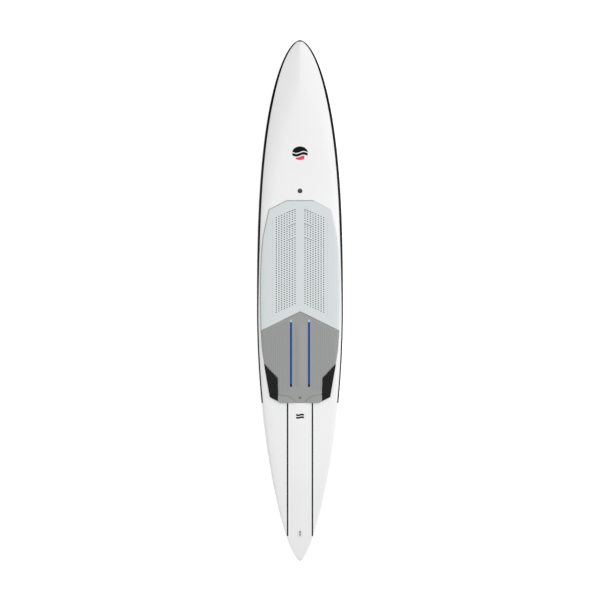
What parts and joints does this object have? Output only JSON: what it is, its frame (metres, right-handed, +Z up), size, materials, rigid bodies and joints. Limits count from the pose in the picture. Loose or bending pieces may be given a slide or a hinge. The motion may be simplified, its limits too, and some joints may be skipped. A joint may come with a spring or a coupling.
{
  "type": "stand up paddleboard",
  "caption": "Downwind stand up paddleboard with EVA traction pads, carry handle, vent plug, leash slot and twin foil tracks with sliding T-nuts.",
  "frame": {"origin": "on the floor under the middle of the board's length and width, the board lying deck up", "axes": "+X to the right side seen from above with the nose away, +Y towards the nose, +Z up"},
  "size_m": [0.431, 2.603, 0.1754],
  "materials": {
    "hull_paint": "glossy white painted laminate",
    "eps_foam": "shaped expanded polystyrene",
    "pvc_foam": "dense closed-cell foam",
    "track_nylon": "moulded nylon",
    "stainless_steel": "satin",
    "moulded_plastic": "fine texture",
    "carbon": "satin clear coat",
    "seal_rubber": "matt",
    "white_plastic": "satin",
    "eva_pale": "perforated foam",
    "eva_grey": "grooved foam",
    "eva_black": "smooth foam",
    "eva_blue": "smooth foam"
  },
  "bodies": {
    "board": {"deck_skin": "hull_paint", "bottom_skin": "hull_paint", "foam_core_nose": "eps_foam", "foam_core_tail": "eps_foam", "foam_core_left": "eps_foam", "foam_core_right": "eps_foam", "stringer_left": "pvc_foam", "stringer_right": "pvc_foam", "track_block": "pvc_foam", "foil_track_left": "track_nylon", "foil_track_right": "track_nylon", "handle_cup": "moulded_plastic", "handle_bar": "carbon", "vent_body": "moulded_plastic", "leash_cup": "white_plastic", "leash_pin": "stainless_steel", "deck_pad_front": "eva_pale", "deck_pad_rear": "eva_grey", "pad_corner_left": "eva_black", "pad_corner_right": "eva_black", "pad_kick_left": "eva_grey", "pad_kick_right": "eva_grey", "pad_arch_bar": "eva_grey", "pad_line_left": "eva_blue", "pad_line_right": "eva_blue"},
    "vent_seal": {"vent_o_ring": "seal_rubber"},
    "vent_screw": {"vent_screw": "stainless_steel"},
    "t_nut_front_left": {"t_nut_front_left": "stainless_steel"},
    "t_nut_front_right": {"t_nut_front_right": "stainless_steel"},
    "t_nut_rear_left": {"t_nut_rear_left": "stainless_steel"},
    "t_nut_rear_right": {"t_nut_rear_right": "stainless_steel"}
  },
  "joints": [
    {"name": "vent_lift", "type": "slide", "parent": "board", "child": "vent_seal", "axis": [0, 0, 1], "range_m": [0, 0.003]},
    {"name": "vent_turn", "type": "hinge", "parent": "vent_seal", "child": "vent_screw", "pos_m": [0, 0.55, 0.128], "axis": [0, 0, 1], "range_deg": [0, 1085]},
    {"name": "nut_slide_front_left", "type": "slide", "parent": "board", "child": "t_nut_front_left", "axis": [0, 1, 0], "range_m": [-0.07, 0.089]},
    {"name": "nut_slide_front_right", "type": "slide", "parent": "board", "child": "t_nut_front_right", "axis": [0, 1, 0], "range_m": [-0.07, 0.089]},
    {"name": "nut_slide_rear_left", "type": "slide", "parent": "board", "child": "t_nut_rear_left", "axis": [0, 1, 0], "range_m": [-0.089, 0.07]},
    {"name": "nut_slide_rear_right", "type": "slide", "parent": "board", "child": "t_nut_rear_right", "axis": [0, 1, 0], "range_m": [-0.089, 0.07]}
  ],
  "couplings": [
    {"joint": "vent_turn", "follows": "vent_lift", "rad_per_m": 6283.2}
  ]
}
